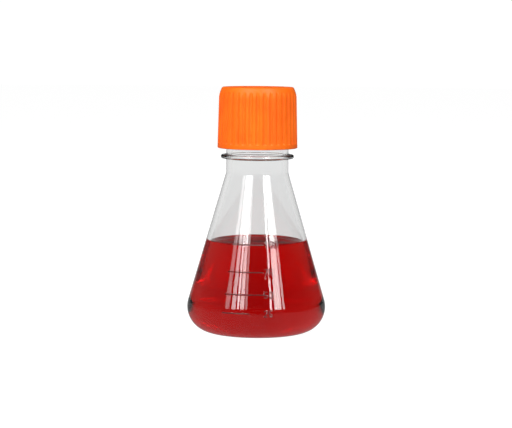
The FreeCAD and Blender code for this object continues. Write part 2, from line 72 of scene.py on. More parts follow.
# steps of the flask's columns, in degrees: over the scale's lines, over its numerals, and elsewhere
LINE_STEP = 0.4
NUMERAL_STEP = 0.14
PLAIN_STEP = 2.5


# ---------------------------------------------------------------- settings


def length(name, millimetres, description):
    """A setting that holds a length."""
    return FloatProperty(
        name=name, description=description, default=millimetres * MILLIMETRE, unit="LENGTH", precision=5
    )


def angle(name, degrees, description):
    """A setting that holds an angle."""
    return FloatProperty(
        name=name, description=description, default=math.radians(degrees), unit="ROTATION", subtype="ANGLE"
    )


def colour(name, red, green, blue, description):
    """A setting that holds a colour."""
    return FloatVectorProperty(
        name=name, description=description, default=(red, green, blue), subtype="COLOR", size=3, min=0, max=1
    )


class FlaskSizes(PropertyGroup):
    """Sizes of the moulded flask."""

    heel_radius: length("Heel radius", 12.2, "Rounding between the foot and the cone")
    cone_lean: angle("Cone lean", 16.3, "Angle between the cone's wall and the axis")
    wall: length("Wall", 1.95, "Thickness of the floor, the cone and the neck")
    push_up: length("Push-up", 1.2, "Rise of the floor's middle")
    foot_width: length("Foot width", 2.5, "Width of the flat ring that the flask stands on")
    neck_radius: length("Neck radius", 15.0, "Outside of the neck between its threads")
    neck_blend: length("Neck blend", 5.0, "Rounding between the cone and the neck")
    lip_round: length("Lip rounding", 0.5, "Rounding of the lip's edges")
    flange_rise: length("Flange rise", 7.0, "From the top of the cone to the flange")
    flange_reach: length("Flange reach", 2.6, "How far the flange stands out of the neck")
    flange_thickness: length("Flange thickness", 1.8, "Thickness of the flange")
    flange_round: length("Flange rounding", 0.8, "Rounding of the flange's rim")
    flange_root: length("Flange root", 0.4, "Rounding where the flange leaves the neck")


class ThreadSizes(PropertyGroup):
    """The screw thread that the neck and the cap share."""

    pitch: length("Pitch", 4.2333, "Rise of one turn")
    depth: length("Depth", 1.2, "How far each thread stands out of its wall")
    root: length("Root width", 2.1, "Width of a thread at its root")
    crest: length("Crest width", 0.9, "Width of a thread at its crest")
    sink: length("Root sink", 0.3, "How far inside the wall the root lies")
    neck_turns: FloatProperty(name="Neck turns", description="Turns of the neck's thread", default=1.5)
    cap_turns: FloatProperty(name="Cap turns", description="Turns of the cap's thread", default=1.25)
    lip_drop: length("Drop from the lip", 2.4, "From the lip to the neck thread's last turn")
    cap_drop: length("Cap thread drop", 1.5, "From the neck thread's start to the cap thread's")
    run_out: angle("Run-out", 26.0, "Turn over which each end of a thread fades into its wall")


class ScaleSizes(PropertyGroup):
    """The moulded volume scale."""

    mark_25: length("25 mL line", 13.2, "Height of the 25 mL line")
    mark_50: length("50 mL line", 21.8, "Height of the 50 mL line")
    mark_75: length("75 mL line", 32.1, "Height of the 75 mL line")
    mark_100: length("100 mL line", 44.8, "Height of the 100 mL line")
    line_width: length("Line width", 0.6, "Width of a line")
    rise: length("Rise", 0.24, "How far the lines and numerals stand out")
    line_start: angle("Line start", -28.0, "From the front to where each line starts")
    line_sweep: angle("Line sweep", 34.0, "Angle that a full line turns through")
    short_sweep: angle("Short sweep", 22.0, "Angle that the lowest line turns through")
    numeral_offset: length("Numeral offset", 3.5, "From the front of the flask to the first digit")
    numeral_height: length("Numeral height", 3.5, "Height of a digit")
    numeral_width: length("Numeral width", 1.95, "Width of a digit")
    numeral_space: length("Numeral gap", 0.4, "Gap between two digits")
    stroke: length("Stroke", 0.55, "Width of a digit's stroke")


class MediumSizes(PropertyGroup):
    """The liquid."""

    film: length("Film", 0.02, "Gap between the liquid and the wall that it wets")
    sink: length("Sink", 0.5, "How far the middle of the surface lies under the packed level")
    climb: length("Climb", 1.4, "How far the liquid climbs the wall")
    climb_width: length("Climb width", 1.5, "How fast the climbing edge levels out")


class CapSizes(PropertyGroup):
    """The screw cap."""

    bore_radius: length("Bore radius", 16.5, "Inside of the skirt between its threads")
    top_thickness: length("Top thickness", 1.8, "Thickness of the cap's top")
    draft: length("Draft", 0.6, "How much narrower the skirt is at its upper end")
    shoulder_drop: length("Shoulder drop", 4.7, "From the top to the upper end of the skirt")
    shoulder_inset: length("Shoulder inset", 1.6, "How much narrower the top is than the skirt")
    shoulder_curve: length("Shoulder curve", 12.0, "Radius of the shoulder's curve")
    edge: length("Top edge", 1.0, "Rounding of the top's edge")
    skirt_edge: length("Skirt edge", 0.4, "Rounding of the lower edge")
    lead_in: length("Lead-in", 0.5, "Chamfer at the mouth of the cap")
    flutes: IntProperty(name="Flutes", description="Number of flutes", default=36)
    flute_width: length("Flute width", 1.9, "Width of a flute")
    flute_depth: length("Flute depth", 0.65, "Depth of a flute")
    flute_softness: length("Flute softness", 0.07, "Rounding of a flute's edges")
    band: length("Band", 2.2, "Height of the plain band under the flutes")
    vent_radius: length("Vent radius", 1.1, "Radius of a vent hole")
    vent_spacing: length("Vent spacing", 4.4, "Spacing of the rows of vent holes")
    vent_rows: IntProperty(name="Vent rows", description="Rows of holes round the middle one", default=2)
    vent_chamfer: length("Vent chamfer", 0.25, "Chamfer at the mouth of a vent hole")


class Finishes(PropertyGroup):
    """Colours of the object's materials."""

    cap: colour("Cap", 1.0, 0.172, 0.009, "Moulded plastic of the screw cap")
    cap_deep: colour("Cap, deeper", 0.92, 0.125, 0.006, "Where the cap's plastic flowed thin")
    clear: colour("Clear wall", 0.985, 0.988, 0.985, "Clear moulded wall")
    clear_dull: colour("Clear wall, duller", 0.96, 0.965, 0.965, "Faint streaks in the clear wall")
    # the scale's colour is a painted shade: a near-black tint on clear plastic that stands in for the shade
    # the moulded lines and numerals show
    scale: colour("Scale", 0.06, 0.05, 0.05, "Finely textured plastic of the scale, tinted dark as a painted shade")
    medium: colour("Medium", 0.9, 0.16, 0.05, "Light that the liquid lets through")
    seal: colour("Seal", 0.75, 0.75, 0.72, "Sealing ring")
    membrane: colour("Membrane", 0.9, 0.9, 0.88, "Filter membrane")
    retainer: colour("Retainer", 0.82, 0.83, 0.84, "Ring that holds the membrane")


class StageSizes(PropertyGroup):
    """Camera and studio."""

    camera_distance: length("Camera distance", 900.0, "From the axis to the camera")
    camera_height: length("Camera height", 146.0, "Height of the camera")
    camera_aside: length("Camera aside", -0.44, "How far the camera stands to the side")
    camera_pitch: angle("Camera pitch", 5.642, "How far the camera looks down")
    camera_roll: angle("Camera roll", 0.45, "Turn of the camera about its own axis")
    lens: FloatProperty(name="Lens", description="Focal length", default=131.3, unit="CAMERA")
    light_distance: length("Light distance", 1400.0, "From the flask to each soft light")
    floor_radius: length("Floor radius", 4000.0, "Radius of the floor")


class FlaskSettings(PropertyGroup):
    """Everything that a user would change."""

    flask: PointerProperty(type=FlaskSizes, name="Flask", description="Sizes of the flask")
    thread: PointerProperty(type=ThreadSizes, name="Thread", description="Sizes of the screw thread")
    scale: PointerProperty(type=ScaleSizes, name="Scale", description="Sizes of the volume scale")
    medium: PointerProperty(type=MediumSizes, name="Medium", description="Sizes of the liquid")
    cap: PointerProperty(type=CapSizes, name="Cap", description="Sizes of the cap")
    finish: PointerProperty(type=Finishes, name="Finishes", description="Colours")
    stage: PointerProperty(type=StageSizes, name="Stage", description="Camera and studio")


def settings():
    """The scene's settings."""
    return bpy.context.scene.shake_flask


# ---------------------------------------------------------------- outlines and turned meshes


def arc(centre, radius, start, end, steps):
    """Points of an arc about a centre, between two angles in degrees."""
    turns = np.radians(np.linspace(start, end, steps + 1))
    return [(centre[0] + radius * math.cos(t), centre[1] + radius * math.sin(t)) for t in turns]


def rounded(points, steps=8):
    """An open outline of (radius, height, rounding) points with its corners rounded."""
    outline = [points[0][:2]]
    for before, corner, after in zip(points, points[1:], points[2:]):
        middle = Vector(corner[:2])
        rounding = corner[2]
        if not rounding:
            outline.append(tuple(middle))
            continue
        back = (Vector(before[:2]) - middle).normalized()
        on = (Vector(after[:2]) - middle).normalized()
        half = back.angle(on) / 2
        bisector = (back + on).normalized()
        centre = middle + bisector * (rounding / math.sin(half))
        first = middle + back * (rounding / math.tan(half)) - centre
        last = middle + on * (rounding / math.tan(half)) - centre
        start = math.degrees(math.atan2(first.y, first.x))
        sweep = math.degrees(math.atan2(first.x * last.y - first.y * last.x, first.dot(last)))
        outline += arc(centre, rounding, start, start + sweep, steps)
    outline.append(points[-1][:2])
    return outline


def divided(outline, spacing):
    """The outline with extra points, so that no gap is wider than spacing(height) allows."""
    points = [outline[0]]
    for (r0, z0), (r1, z1) in zip(outline, outline[1:]):
        span = math.hypot(r1 - r0, z1 - z0)
        if span < 1e-7:
            continue
        done = spacing(z0) / span
        while done < 1:
            points.append((r0 + done * (r1 - r0), z0 + done * (z1 - z0)))
            done += spacing(points[-1][1]) / span
        points.append((r1, z1))
    return np.array(points)


def grid(outline, azimuths):
    """Radius and height of every point of an outline turned to every azimuth."""
    radius = np.repeat(outline[:, :1], len(azimuths), axis=1)
    height = np.repeat(outline[:, 1:], len(azimuths), axis=1)
    return radius, height


def normals(outline):
    """How far out and how far up each point of an outline faces."""
    along = np.gradient(outline, axis=0)
    along /= np.maximum(np.linalg.norm(along, axis=1, keepdims=True), 1e-12)
    return along[:, 1:], -along[:, :1]


def turned(name, radius, height, azimuths, looped=False, slots=None):
    """A closed mesh from a grid of radii and heights, one row per outline point.

    An end of the outline on the axis closes in a point, and any other end is filled with one face.
    """
    rows, columns = radius.shape
    points = np.stack([radius * np.cos(azimuths), radius * np.sin(azimuths), height], axis=-1)
    index = np.arange(rows * columns).reshape(rows, columns)
    upper = np.roll(index, -1, axis=0) if looped else index[1:]
    lower = index if looped else index[:-1]
    quads = np.stack([lower, np.roll(lower, -1, 1), np.roll(upper, -1, 1), upper], axis=-1)
    faces = quads.reshape(-1, 4).tolist()
    if not looped and radius[0].max() > 1e-6:
        faces.append(index[0][::-1].tolist())
    if not looped and radius[-1].max() > 1e-6:
        faces.append(index[-1].tolist())
    mesh = bpy.data.meshes.new(name)
    mesh.from_pydata(points.reshape(-1, 3).tolist(), [], faces)
    if slots is not None:
        per_face = np.broadcast_to(slots, (len(quads), columns)).ravel()
        mesh.polygons.foreach_set("material_index", per_face.astype(np.int32))
    merge_doubles(mesh)
    return mesh


def merge_doubles(mesh):
    """Join the points that lie together on the axis."""
    work = bmesh.new()
    work.from_mesh(mesh)
    bmesh.ops.remove_doubles(work, verts=work.verts, dist=1e-8)
    bmesh.ops.dissolve_degenerate(work, edges=work.edges, dist=1e-9)
    work.to_mesh(mesh)
    work.free()


def finished(name, mesh, sharp, materials, body, node):
    """The mesh as a shaded piece that stands for a CAD node and rides on its body."""
    mesh.shade_smooth()
    mesh.set_sharp_from_angle(angle=math.radians(sharp))
    piece = bpy.data.objects.new(name, mesh)
    bpy.context.scene.collection.objects.link(piece)
    for material in materials:
        mesh.materials.append(material)
    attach(piece, body)
    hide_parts(node)
    return piece


# ---------------------------------------------------------------- materials


def new_group(name, inputs, outputs):
    """An empty shader node group with named sockets, and its two end nodes."""
    group = bpy.data.node_groups.new(name, "ShaderNodeTree")
    for socket, kind, default in inputs:
        item = group.interface.new_socket(socket, in_out="INPUT", socket_type=f"NodeSocket{kind}")
        item.default_value = default
    for socket, kind in outputs:
        group.interface.new_socket(socket, in_out="OUTPUT", socket_type=f"NodeSocket{kind}")
    return group, group.nodes.new("NodeGroupInput"), group.nodes.new("NodeGroupOutput")


def noise(tree, coordinates, detail, scale=None):
    """A noise texture over the given coordinates."""
    node = tree.nodes.new("ShaderNodeTexNoise")
    node.inputs["Detail"].default_value = detail
    tree.links.new(coordinates, node.inputs["Vector"])
    if scale is not None:
        tree.links.new(scale, node.inputs["Scale"])
    return node.outputs["Fac"]


def stretched(tree, scale):
    """The object's own coordinates, stretched by a factor along each axis."""
    place = tree.nodes.new("ShaderNodeTexCoord")
    mapping = tree.nodes.new("ShaderNodeMapping")
    mapping.inputs["Scale"].default_value = scale
    tree.links.new(place.outputs["Object"], mapping.inputs["Vector"])
    return mapping.outputs["Vector"]


def ranged(tree, value, low, high):
    """A noise value spread between two bounds, which may be sockets or numbers."""
    node = tree.nodes.new("ShaderNodeMapRange")
    node.inputs["From Min"].default_value = 0.3
    node.inputs["From Max"].default_value = 0.7
    tree.links.new(value, node.inputs["Value"])
    for name, bound in (("To Min", low), ("To Max", high)):
        if isinstance(bound, (int, float)):
            node.inputs[name].default_value = bound
        else:
            tree.links.new(bound, node.inputs[name])
    return node.outputs["Result"]


def blended(tree, share, first, second):
    """A colour between two others."""
    node = tree.nodes.new("ShaderNodeMix")
    node.data_type = "RGBA"
    tree.links.new(share, node.inputs["Factor"])
    tree.links.new(first, node.inputs["A"])
    tree.links.new(second, node.inputs["B"])
    return node.outputs["Result"]


def surface_group(name, stretch, cloud_scale, grain_scale):
    """A group that clouds a colour, spreads a roughness and gives a fine height over the surface."""
    inputs = (
        ("Colour", "Color", (1, 1, 1, 1)),
        ("Second Colour", "Color", (1, 1, 1, 1)),
        ("Cloud Scale", "Float", cloud_scale),
        ("Grain Scale", "Float", grain_scale),
        ("Least Roughness", "Float", 0.3),
        ("Most Roughness", "Float", 0.4),
    )
    outputs = (("Colour", "Color"), ("Roughness", "Float"), ("Height", "Float"))
    group, start, end = new_group(name, inputs, outputs)
    place = stretched(group, stretch)
    cloud = noise(group, place, 3, start.outputs["Cloud Scale"])
    grain = noise(group, place, 2, start.outputs["Grain Scale"])
    share = ranged(group, cloud, 0.0, 1.0)
    mixed = blended(group, share, start.outputs["Colour"], start.outputs["Second Colour"])
    rough = ranged(group, grain, start.outputs["Least Roughness"], start.outputs["Most Roughness"])
    group.links.new(mixed, end.inputs["Colour"])
    group.links.new(rough, end.inputs["Roughness"])
    group.links.new(grain, end.inputs["Height"])
    return group


def shared_group(name, *recipe):
    """The surface group of that name, made the first time that it is asked for."""
    return bpy.data.node_groups.get(name) or surface_group(name, *recipe)


def moulded_group():
    """Even clouds and fine grain, for pressed and moulded plastic and rubber."""
    return shared_group("Moulded Surface", (1, 1, 1), 90.0, 2600.0)


def drawn_group():
    """Streaks that run up the wall, for a wall that was blown and drawn."""
    return shared_group("Drawn Wall", (1, 1, 0.12), 60.0, 180.0)


def new_material(name, group, first, second, roughness, bump, scales=None):
    """A material whose colour, roughness and fine relief come from a surface group."""
    material = bpy.data.materials.new(name)
    material.use_nodes = True
    tree = material.node_tree
    shader = tree.nodes["Principled BSDF"]
    surface = tree.nodes.new("ShaderNodeGroup")
    surface.node_tree = group
    surface.inputs["Colour"].default_value = (*first, 1)
    surface.inputs["Second Colour"].default_value = (*second, 1)
    surface.inputs["Least Roughness"].default_value = roughness[0]
    surface.inputs["Most Roughness"].default_value = roughness[1]
    if scales:
        surface.inputs["Cloud Scale"].default_value = scales[0]
        surface.inputs["Grain Scale"].default_value = scales[1]
    tree.links.new(surface.outputs["Colour"], shader.inputs["Base Color"])
    tree.links.new(surface.outputs["Roughness"], shader.inputs["Roughness"])
    relief = tree.nodes.new("ShaderNodeBump")
    relief.inputs["Strength"].default_value = bump[0]
    relief.inputs["Distance"].default_value = bump[1]
    tree.links.new(surface.outputs["Height"], relief.inputs["Height"])
    tree.links.new(relief.outputs["Normal"], shader.inputs["Normal"])
    return material, shader


def clear_material(name, index):
    """Clear plastic, with the refractive index that its inner or outer neighbour gives it."""
    finish = settings().finish
    material, shader = new_material(
        name, drawn_group(), finish.clear, finish.clear_dull, (0.0, 0.012), (0.02, 0.0004)
    )
    shader.inputs["Transmission Weight"].default_value = 1.0
    shader.inputs["IOR"].default_value = index
    return material


def painted_shade_scale_material(name, index):
    """The clear plastic of the scale: finely textured, and tinted dark as a painted shade so that its lines
    and numerals stand out.
    """
    # painted shade: the near-black colour tints the light through the raised marks, in place of the shade of
    # their relief
    finish = settings().finish
    material, shader = new_material(
        name, drawn_group(), finish.scale, [0.9 * c for c in finish.scale], (0.3, 0.4), (0.02, 0.0004)
    )
    shader.inputs["Transmission Weight"].default_value = 1.0
    shader.inputs["IOR"].default_value = index
    return material


def medium_material(name, index):
    """The liquid: a clear surface round a volume that takes up green and blue light."""
    finish = settings().finish
    white = (1.0, 1.0, 1.0)
    material, shader = new_material(
        name, drawn_group(), white, (0.995, 0.99, 0.99), (0.0, 0.004), (0.004, 0.0002)
    )
    shader.inputs["Transmission Weight"].default_value = 1.0
    shader.inputs["IOR"].default_value = index
    tree = material.node_tree
    volume = tree.nodes.new("ShaderNodeVolumeAbsorption")
    volume.inputs["Color"].default_value = (*finish.medium, 1)
    volume.inputs["Density"].default_value = LIQUID_DENSITY
    tree.links.new(volume.outputs["Volume"], tree.nodes["Material Output"].inputs["Volume"])
    return material


# ---------------------------------------------------------------- the flask


def front_columns():
    """Azimuths round the flask, in radians: close together at the scale and wide elsewhere."""
    first_line, first_numeral, last_numeral = FRONT - 31, FRONT + 5, FRONT + 27
    lines = np.arange(first_line, first_numeral, LINE_STEP)
    numerals = np.arange(first_numeral, last_numeral, NUMERAL_STEP)
    plain = np.arange(last_numeral, first_line + 360, PLAIN_STEP)
    return np.radians(np.concatenate([lines, numerals, plain]))


def base_radius():
    """Radius of the widest part of the flask."""
    low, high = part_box("flask_body")
    return min(high.x, -low.x)


def heel_centre():
    """Radius at which the heel's rounding is centred."""
    return base_radius() - settings().flask.heel_radius


def cone_radius(height, inset):
    """Radius of the cone at a height, a given distance inside its outer face."""
    sizes = settings().flask
    lean = sizes.cone_lean
    reach = sizes.heel_radius - inset
    tangent_radius = heel_centre() + reach * math.cos(lean)
    tangent_height = sizes.heel_radius + reach * math.sin(lean)
    return tangent_radius - (height - tangent_height) * math.tan(lean)


def cone_height(radius, inset):
    """Height at which the cone has a radius, a given distance inside its outer face."""
    return (cone_radius(0.0, inset) - radius) / math.tan(settings().flask.cone_lean)


def basin(inset):
    """The floor and the heel, a given distance inside the outer face, from the axis to the cone."""
    sizes = settings().flask
    foot = heel_centre() - sizes.foot_width
    dome = (foot**2 + sizes.push_up**2) / (2 * sizes.push_up)
    floor = [(r, inset + sizes.push_up - dome + math.sqrt(dome**2 - r**2)) for r in np.linspace(0, foot, 25)]
    reach = sizes.heel_radius - inset
    heel = arc((heel_centre(), sizes.heel_radius), reach, -90, math.degrees(sizes.cone_lean), 40)
    return floor + heel


def neck_outline(lip):
    """The outer face from the cone to the lip, over the flange, and down the bore."""
    sizes = settings().flask
    neck = sizes.neck_radius
    bore = neck - sizes.wall
    rim = neck + sizes.flange_reach
    cone_top = cone_height(neck, 0.0)
    under = cone_top + sizes.flange_rise
    over = under + sizes.flange_thickness
    return rounded(
        [
            (cone_radius(cone_top / 2, 0.0), cone_top / 2, 0),
            (neck, cone_top, sizes.neck_blend),
            (neck, under, sizes.flange_root),
            (rim, under, sizes.flange_round),
            (rim, over, sizes.flange_round),
            (neck, over, sizes.flange_root),
            (neck, lip, sizes.lip_round),
            (bore, lip, sizes.lip_round),
            (bore, cone_height(bore, sizes.wall), sizes.neck_blend + sizes.wall),
            (cone_radius(cone_top / 2, sizes.wall), cone_top / 2, 0),
        ],
        steps=10,
    )


def marks():
    """Height, sweep and label of every line of the scale."""
    sizes = settings().scale
    return (
        (sizes.mark_25, sizes.short_sweep, "25"),
        (sizes.mark_50, sizes.line_sweep, "50"),
        (sizes.mark_75, sizes.line_sweep, "75"),
        (sizes.mark_100, sizes.line_sweep, "100"),
    )


def flask_spacing(lip, level):
    """How far apart the flask's rows may be at each height."""
    sizes = settings().scale
    thread = settings().thread
    thread_top = lip - thread.lip_drop + thread.root
    thread_bottom = thread_top - thread.neck_turns * thread.pitch - 2 * thread.root

    def spacing(height):
        from_line = min(abs(height - mark) for mark, sweep, label in marks())
        if from_line < 1.2 * sizes.line_width:
            return 0.07 * MILLIMETRE
        if from_line < 0.6 * sizes.numeral_height:
            return 0.12 * MILLIMETRE
        if thread_bottom < height < thread_top:
            return 0.16 * MILLIMETRE
        if abs(height - level) < 2 * MILLIMETRE:
            return 0.25 * MILLIMETRE
        return 1.2 * MILLIMETRE

    return spacing


def bead(across, up, line, width, rise):
    """How far a moulded bead along a line of points stands out at each place."""
    distance = np.full(across.shape, 1.0)
    for (x0, y0), (x1, y1) in zip(line, line[1:]):
        dx, dy = x1 - x0, y1 - y0
        share = np.clip(((across - x0) * dx + (up - y0) * dy) / (dx * dx + dy * dy), 0, 1)
        distance = np.minimum(distance, np.hypot(across - x0 - share * dx, up - y0 - share * dy))
    return rise * np.clip(2.2 * (1 - 2 * distance / width), 0, 1)


def digit_line(digit, width, height):
    """The centre line of a digit's stroke, about the digit's middle."""
    left, right, bottom, top = -width / 2, width / 2, -height / 2, height / 2
    bowl = width / 2
    if digit == "0":
        upper = arc((0, top - bowl), bowl, 0, 180, 10)
        lower = arc((0, bottom + bowl), bowl, 180, 360, 10)
        return upper + lower + [(right, top - bowl)]
    if digit == "1":
        return [(-bowl / 1.5, top - bowl), (0, top), (0, bottom)]
    if digit == "2":
        return arc((0, top - bowl), bowl, 165, -35, 10) + [(left, bottom), (right, bottom)]
    if digit == "5":
        start = [(right, top), (left, top), (left, bottom + 1.55 * bowl)]
        return start + arc((0, bottom + bowl), bowl, 125, -150, 12)
    if digit == "7":
        return [(left, top), (right, top), (left + width / 4, bottom)]
    raise ValueError(f"no stroke is drawn for {digit}")


def scale_relief(radius, height, azimuths):
    """How far the lines and numerals of the scale stand out at each place of the outer face."""
    sizes = settings().scale
    lean = settings().flask.cone_lean
    front = math.radians(FRONT)
    lift = np.zeros(radius.shape)
    for mark, sweep, label in marks():
        rows = np.abs(height[:, 0] - mark) < sizes.numeral_height
        across = radius[rows] * (azimuths - front)
        up = (height[rows] - mark) / math.cos(lean)
        at_mark = cone_radius(mark, 0.0)
        line = [(at_mark * sizes.line_start, 0.0), (at_mark * (sizes.line_start + sweep), 0.0)]
        relief = bead(at_mark * (azimuths - front) + 0 * up, up, line, sizes.line_width, sizes.rise)
        for place, digit in enumerate(label):
            middle = sizes.numeral_offset + sizes.numeral_width * (place + 0.5) + sizes.numeral_space * place
            width = sizes.numeral_width - sizes.stroke
            stroke = digit_line(digit, width, sizes.numeral_height - sizes.stroke)
            relief = np.maximum(relief, bead(across - middle, up, stroke, sizes.stroke, sizes.rise))
        lift[rows] = np.maximum(lift[rows], relief)
    return lift


def thread_relief(height, azimuths, start, turns):
    """How far a right-hand thread that starts at azimuth 0 stands out at each place."""
    sizes = settings().thread
    root, crest = sizes.root / 2, sizes.crest / 2
    steepness = (sizes.depth + sizes.sink) / (root - crest)
    lift = np.zeros(height.shape)
    for lap in range(math.ceil(turns)):
        turn = np.mod(azimuths, 2 * math.pi) + 2 * math.pi * lap
        left = 2 * math.pi * turns - turn
        fade = np.clip(np.minimum(turn, left) / sizes.run_out, 0, 1)
        ease = fade * fade * (3 - 2 * fade)
        distance = np.abs(height - start - sizes.pitch * turn / (2 * math.pi))
        ridge = np.clip((root - distance) * steepness - sizes.sink, 0, sizes.depth)
        lift = np.maximum(lift, ridge * ease)
    return lift


def neck_thread_start(lip):
    """Height at which the neck's thread starts."""
    sizes = settings().thread
    return lip - sizes.lip_drop - sizes.neck_turns * sizes.pitch


class FLASK_OT_build_flask(Operator):
    """Build the clear moulded flask with its flange, neck thread and volume scale"""

    bl_idname = "shake_flask.build_flask"
    bl_label = "Build flask"

    def execute(self, context):
        """Turn the wall, raise the scale and the thread, and mark where the liquid wets it."""
        sizes = settings().flask
        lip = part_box("flask_body")[1].z
        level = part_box("culture_medium")[1].z
        wetted = level - settings().medium.sink + settings().medium.climb
        spacing = flask_spacing(lip, level)
        outer = divided(basin(0.0)[:-1] + neck_outline(lip)[1:-1], spacing)
        edge = (cone_radius(wetted, sizes.wall), wetted)
        inner = divided([tuple(outer[-1]), edge] + basin(sizes.wall)[::-1], spacing)
        outline = np.concatenate([outer, inner[1:]])
        azimuths = front_columns()
        radius, height = grid(outline, azimuths)
        outside = np.arange(len(outline)) < np.argmax(outline[:, 1])
        marked = np.where(outside[:, None], scale_relief(radius, height, azimuths), 0)
        lift = marked
        turns = settings().thread.neck_turns
        lift = np.maximum(lift, thread_relief(height, azimuths, neck_thread_start(lip), turns))
        lift = np.where(outside[:, None], lift, 0)
        out, up = normals(outline)
        radius = radius + lift * out
        height = height + lift * up
        middle = (outline[:-1] + outline[1:]) / 2
        wet = (np.arange(len(middle)) >= np.argmax(outline[:, 1])) & (middle[:, 1] < wetted)
        # faces on the raised lines and numerals take slot 2, the scale material whose dark tint is a painted
        # shade
        raised = np.minimum(marked[:-1], marked[1:]) > 0.3 * settings().scale.rise
        slots = np.where(raised, 2, wet[:, None])
        mesh = turned("MouldedFlask", radius, height, azimuths, slots=slots)
        materials = [
            clear_material("Clear Wall", WALL_INDEX),
            clear_material("Clear Wall, Wetted", WALL_INDEX / LIQUID_INDEX),
            painted_shade_scale_material("Clear Wall, Scale, Painted Shade", WALL_INDEX),
        ]
        finished("moulded_flask", mesh, 50, materials, "flask", "flask_body")
        return {"FINISHED"}


# ---------------------------------------------------------------- the medium


class FLASK_OT_build_medium(Operator):
    """Build the liquid, which follows the wall and climbs it a little at its surface"""

    bl_idname = "shake_flask.build_medium"
    bl_label = "Build medium"

    def execute(self, context):
        """Turn the liquid inside the flask's inner face."""
        sizes = settings().medium
        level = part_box("culture_medium")[1].z - sizes.sink
        inset = settings().flask.wall + sizes.film
        edge = level + sizes.climb
        rim = cone_radius(edge, inset)
        edge_band = rim - sizes.climb_width * np.geomspace(0.02, 5, 24)
        across = np.concatenate([edge_band, np.linspace(0.6, 0, 8) * rim])
        climb, width = sizes.climb, sizes.climb_width
        surface = [(r, level + climb * math.exp((r - rim) / width)) for r in across]
        side = divided(basin(inset) + [(rim, edge)], lambda z: 1.2 * MILLIMETRE)
        outline = np.concatenate([side, np.array(surface)])
        azimuths = np.radians(np.arange(0, 360, 1.5))
        radius, height = grid(outline, azimuths)
        top = (np.arange(len(outline) - 1) >= len(side) - 1)[:, None]
        mesh = turned("LiquidMedium", radius, height, azimuths, slots=top)
        materials = [medium_material("Medium, Side", 1.0), medium_material("Medium, Surface", LIQUID_INDEX)]
        finished("liquid_medium", mesh, 40, materials, "flask", "culture_medium")
        return {"FINISHED"}


# ---------------------------------------------------------------- the cap


def flute_columns():
    """Azimuths round the cap, in radians, closest together at the edges of the flutes."""
    sizes = settings().cap
    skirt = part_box("cap_shell")[1].x
    pitch = 2 * math.pi / sizes.flutes
    edge = sizes.flute_width / 2 / skirt
    shares = np.array([0, 0.3, 0.55, 0.75, 0.88, 0.97, 1.05, 1.15, 1.32])
    half = np.concatenate([shares * edge, [pitch / 2]])
    one = np.concatenate([half, pitch - half[1:-1][::-1]])
    return np.concatenate([one + pitch * flute for flute in range(sizes.flutes)])


def fluted(radius, height, azimuths, low, skirt):
    """The radii of the cap's outer face with its flutes cut in, above the plain band."""
    sizes = settings().cap
    pitch = 2 * math.pi / sizes.flutes
    half = sizes.flute_width / 2
    cutter = (half**2 + sizes.flute_depth**2) / (2 * sizes.flute_depth)
    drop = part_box("cap_shell")[1].z - sizes.shoulder_drop - low
    face = skirt - sizes.draft * np.clip((height - low) / drop, 0, 1)
    centre = face - sizes.flute_depth + cutter
    turn = np.mod(azimuths + pitch / 2, pitch) - pitch / 2
    aside = centre * np.sin(turn)
    inside = np.clip(cutter**2 - aside**2, 0, None)
    groove = np.where(inside > 0, centre * np.cos(turn) - np.sqrt(inside), radius + cutter)
    soft = sizes.flute_softness
    cut = -soft * np.logaddexp(-radius / soft, -groove / soft)
    start = np.clip((height - low - sizes.band) / (0.7 * MILLIMETRE), 0, 1)
    return radius + (cut - radius) * np.sqrt(1 - (1 - start) ** 2)


def vent_places():
    """Where the vent holes are: one in the middle and six more in each row round it."""
    sizes = settings().cap
    places = [(0.0, 0.0)]
    for row in range(1, sizes.vent_rows + 1):
        for hole in range(6 * row):
            turn = math.pi * hole / (3 * row)
            reach = row * sizes.vent_spacing
            places.append((reach * math.cos(turn), reach * math.sin(turn)))
    return places


def vent_cutters(under, top):
    """One mesh of all the cutters that drill the vent holes, each flared at its upper end."""
    sizes = settings().cap
    clear = 1 * MILLIMETRE
    mouth = sizes.vent_radius + sizes.vent_chamfer
    outline = np.array(
        [
            (0, under - clear),
            (sizes.vent_radius, under - clear),
            (sizes.vent_radius, top - sizes.vent_chamfer),
            (mouth + clear, top + clear),
            (0, top + clear),
        ]
    )
    azimuths = np.radians(np.arange(0, 360, 10))
    radius, height = grid(outline, azimuths)
    cutter = turned("VentCutter", radius, height, azimuths)
    corners = np.array([tuple(v.co) for v in cutter.vertices])
    faces = [tuple(p.vertices) for p in cutter.polygons]
    points, drilled = [], []
    for x, y in vent_places():
        first = len(points)
        points += (corners + (x, y, 0)).tolist()
        drilled += [[first + corner for corner in face] for face in faces]
    mesh = bpy.data.meshes.new("VentCutters")
    mesh.from_pydata(points, [], drilled)
    return mesh


def cut_away(mesh, cutters):
    """The mesh with the cutters' shape taken out of it."""
    work = bpy.data.objects.new("Work", mesh)
    tool = bpy.data.objects.new("Tool", cutters)
    for item in (work, tool):
        bpy.context.scene.collection.objects.link(item)
    cut = work.modifiers.new("Vents", "BOOLEAN")
    cut.operation = "DIFFERENCE"
    cut.solver = "EXACT"
    cut.object = tool
    bpy.context.view_layer.update()
    ready = work.evaluated_get(bpy.context.evaluated_depsgraph_get())
    result = bpy.data.meshes.new_from_object(ready)
    for item in (work, tool):
        bpy.data.objects.remove(item)
    if len(result.polygons) <= len(mesh.polygons):
        raise ValueError("the vent holes cut nothing")
    return result


